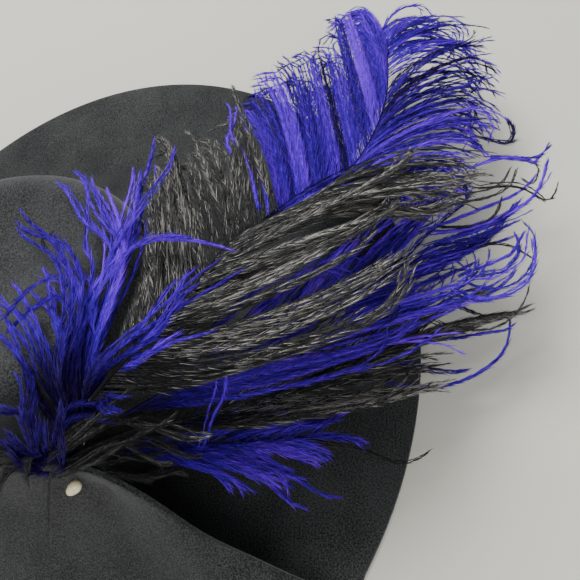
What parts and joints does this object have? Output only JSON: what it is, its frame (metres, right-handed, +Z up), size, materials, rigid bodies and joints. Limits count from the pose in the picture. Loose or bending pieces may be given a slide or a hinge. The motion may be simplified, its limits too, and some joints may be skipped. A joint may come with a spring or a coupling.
{
  "type": "cavalier hat",
  "caption": "Wide-brimmed black felt hat with one side rolled up and pinned by a pearl-headed pin, and purple and black ostrich plumes.",
  "frame": {"origin": "on the floor, under the middle of the whole hat's bounding box, plumes included", "axes": "+Z up from the floor that the brim lies on. +X towards the rolled-up side, the wearer's left. The wearer faces -Y and the plumes sweep towards +Y, the hat's longest way."},
  "size_m": [0.408, 0.5092, 0.1321],
  "materials": {
    "black_felt": "soft matt wool felt",
    "pearl": "pearly gloss",
    "steel_pin": "plain bright steel",
    "black_plume": "dyed ostrich barbs with grey glints",
    "purple_plume": "dyed ostrich barbs, violet"
  },
  "bodies": {
    "root": {"felt_body": "black_felt", "pearl_head": "pearl", "pin_shaft": "steel_pin", "side_tuft": "purple_plume", "lower_black_plume": "black_plume", "lower_purple_plume": "purple_plume", "long_purple_plume": "purple_plume", "long_black_plume": "black_plume", "base_tuft": "purple_plume", "front_tuft": "purple_plume"}
  },
  "joints": []
}
